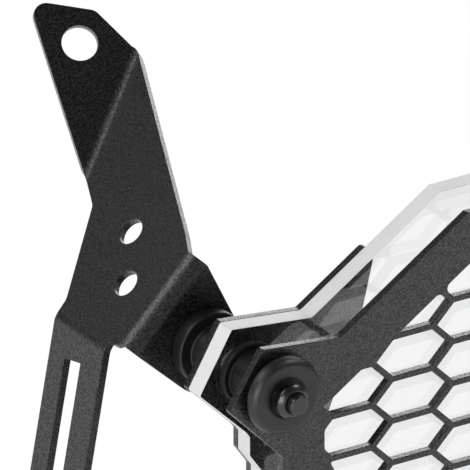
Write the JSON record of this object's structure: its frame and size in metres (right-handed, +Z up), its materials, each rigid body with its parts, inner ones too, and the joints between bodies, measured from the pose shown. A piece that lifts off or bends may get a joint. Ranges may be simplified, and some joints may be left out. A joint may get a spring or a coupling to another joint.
{
  "type": "motorcycle headlight guard",
  "caption": "Headlight guard: a black honeycomb grille in front of a clear shield, spaced by rubber bushes and carried by folded brackets with bolt holes and slotted arms.",
  "frame": {"origin": "middle of the bounding box of the whole guard, on its middle plane", "axes": "+X across the motorcycle, to the right as seen from the front; +Y from the grille back to the motorcycle; +Z up"},
  "size_m": [0.2974, 0.1192, 0.141],
  "materials": {
    "black_powder_coat": "fine textured powder coat",
    "clear_acrylic": "clear, polished faces and edges",
    "black_rubber": "satin moulded rubber",
    "black_stud": "smooth black",
    "zinc_steel": "zinc plated"
  },
  "bodies": {
    "root": {"clear_shield": "clear_acrylic", "honeycomb_grille": "black_powder_coat", "left_back_plate": "black_powder_coat", "left_bracket": "black_powder_coat", "lock_nuts": "zinc_steel", "lower_left_front_bush": "black_rubber", "lower_left_grommet": "black_rubber", "lower_left_rear_bush": "black_rubber", "lower_left_stud": "black_stud", "lower_right_front_bush": "black_rubber", "lower_right_grommet": "black_rubber", "lower_right_rear_bush": "black_rubber", "lower_right_stud": "black_stud", "right_back_plate": "black_powder_coat", "right_bracket": "black_powder_coat", "upper_left_front_bush": "black_rubber", "upper_left_grommet": "black_rubber", "upper_left_rear_bush": "black_rubber", "upper_left_stud": "black_stud", "upper_right_front_bush": "black_rubber", "upper_right_grommet": "black_rubber", "upper_right_rear_bush": "black_rubber", "upper_right_stud": "black_stud", "washers": "zinc_steel"}
  },
  "joints": []
}
